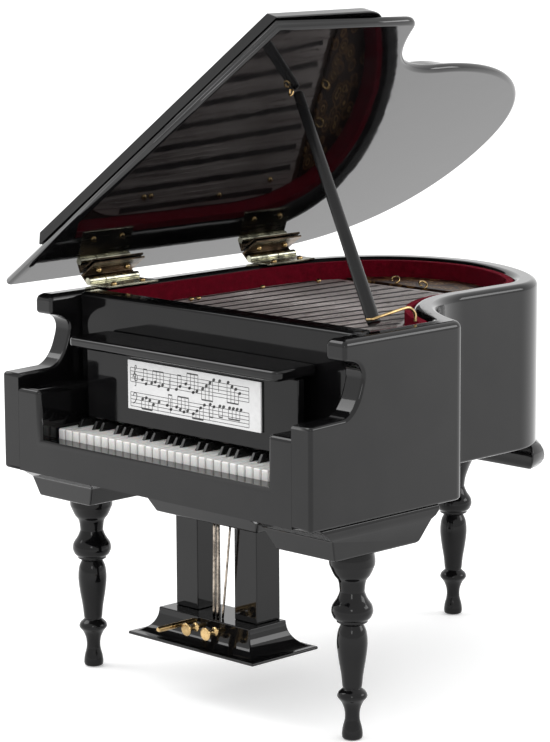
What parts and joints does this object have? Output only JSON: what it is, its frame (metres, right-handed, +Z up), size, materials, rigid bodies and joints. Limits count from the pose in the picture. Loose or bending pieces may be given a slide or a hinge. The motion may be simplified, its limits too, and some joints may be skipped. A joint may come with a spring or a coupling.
{
  "type": "miniature grand piano",
  "caption": "Glossy black miniature grand piano with a hinged lid held open by a prop stick, moulded keys, turned legs and a pedal lyre, for a dolls house or display.",
  "frame": {"origin": "on the floor, under the middle of the bounding box at rest, lid open", "axes": "+Z up, -Y towards the player, +Y towards the tail, -X the hinge side"},
  "size_m": [0.1358, 0.1692, 0.2045],
  "materials": {
    "lacquer": "glossy black lacquer",
    "velvet": "short crimson pile",
    "ivory": "satin white",
    "ebony": "satin black",
    "brass": "polished",
    "silvered": "satin silver stripes",
    "board_wood": "dark stain",
    "gilt": "gilt print",
    "card": "white printed card"
  },
  "bodies": {
    "case": {"case_rim": "lacquer", "bottom_board": "lacquer", "keybed": "lacquer", "keyslip": "lacquer", "key_block_left": "lacquer", "key_block_right": "lacquer", "name_board": "lacquer", "fallboard": "lacquer", "music_shelf": "lacquer", "leg_block_left": "lacquer", "leg_block_right": "lacquer", "leg_block_tail": "lacquer", "lyre_block": "lacquer", "leg_front_left": "lacquer", "leg_front_right": "lacquer", "leg_tail": "lacquer", "lyre_post_left": "lacquer", "lyre_post_right": "lacquer", "lyre_base": "lacquer", "white_keys": "ivory", "black_keys": "ebony", "sheet_music": "card", "soundboard": "board_wood", "string_card": "silvered", "tail_plate": "gilt", "velvet_lining": "velvet", "lyre_rod_left": "brass", "lyre_rod_middle": "brass", "lyre_rod_right": "brass", "pedal_left": "brass", "pedal_middle": "brass", "pedal_right": "brass", "prop_wire": "brass", "hinge_case_leaf_front": "brass", "hinge_pin_front": "brass", "case_nail_front_front": "brass", "case_nail_front_back": "brass", "hinge_case_leaf_rear": "brass", "hinge_pin_rear": "brass", "case_nail_rear_front": "brass", "case_nail_rear_back": "brass"},
    "lid": {"lid_plate": "lacquer", "lid_panel": "lacquer", "lid_eye": "brass", "hinge_lid_leaf_front": "brass", "hinge_lid_leaf_rear": "brass", "lid_nail_front_front": "brass", "lid_nail_front_back": "brass", "lid_nail_rear_front": "brass", "lid_nail_rear_back": "brass"},
    "prop": {"prop_stick": "lacquer"}
  },
  "joints": [
    {"name": "lid_hinge", "type": "hinge", "parent": "case", "child": "lid", "pos_m": [-0.06172, -0.0055, 0.1181], "axis": [0, -1, 0], "range_deg": [0, 45]},
    {"name": "prop_swing", "type": "hinge", "parent": "case", "child": "prop", "pos_m": [0.05808, -0.0496, 0.1189], "axis": [0.2052, 0.9787, 0], "range_deg": [-61, 0]}
  ]
}
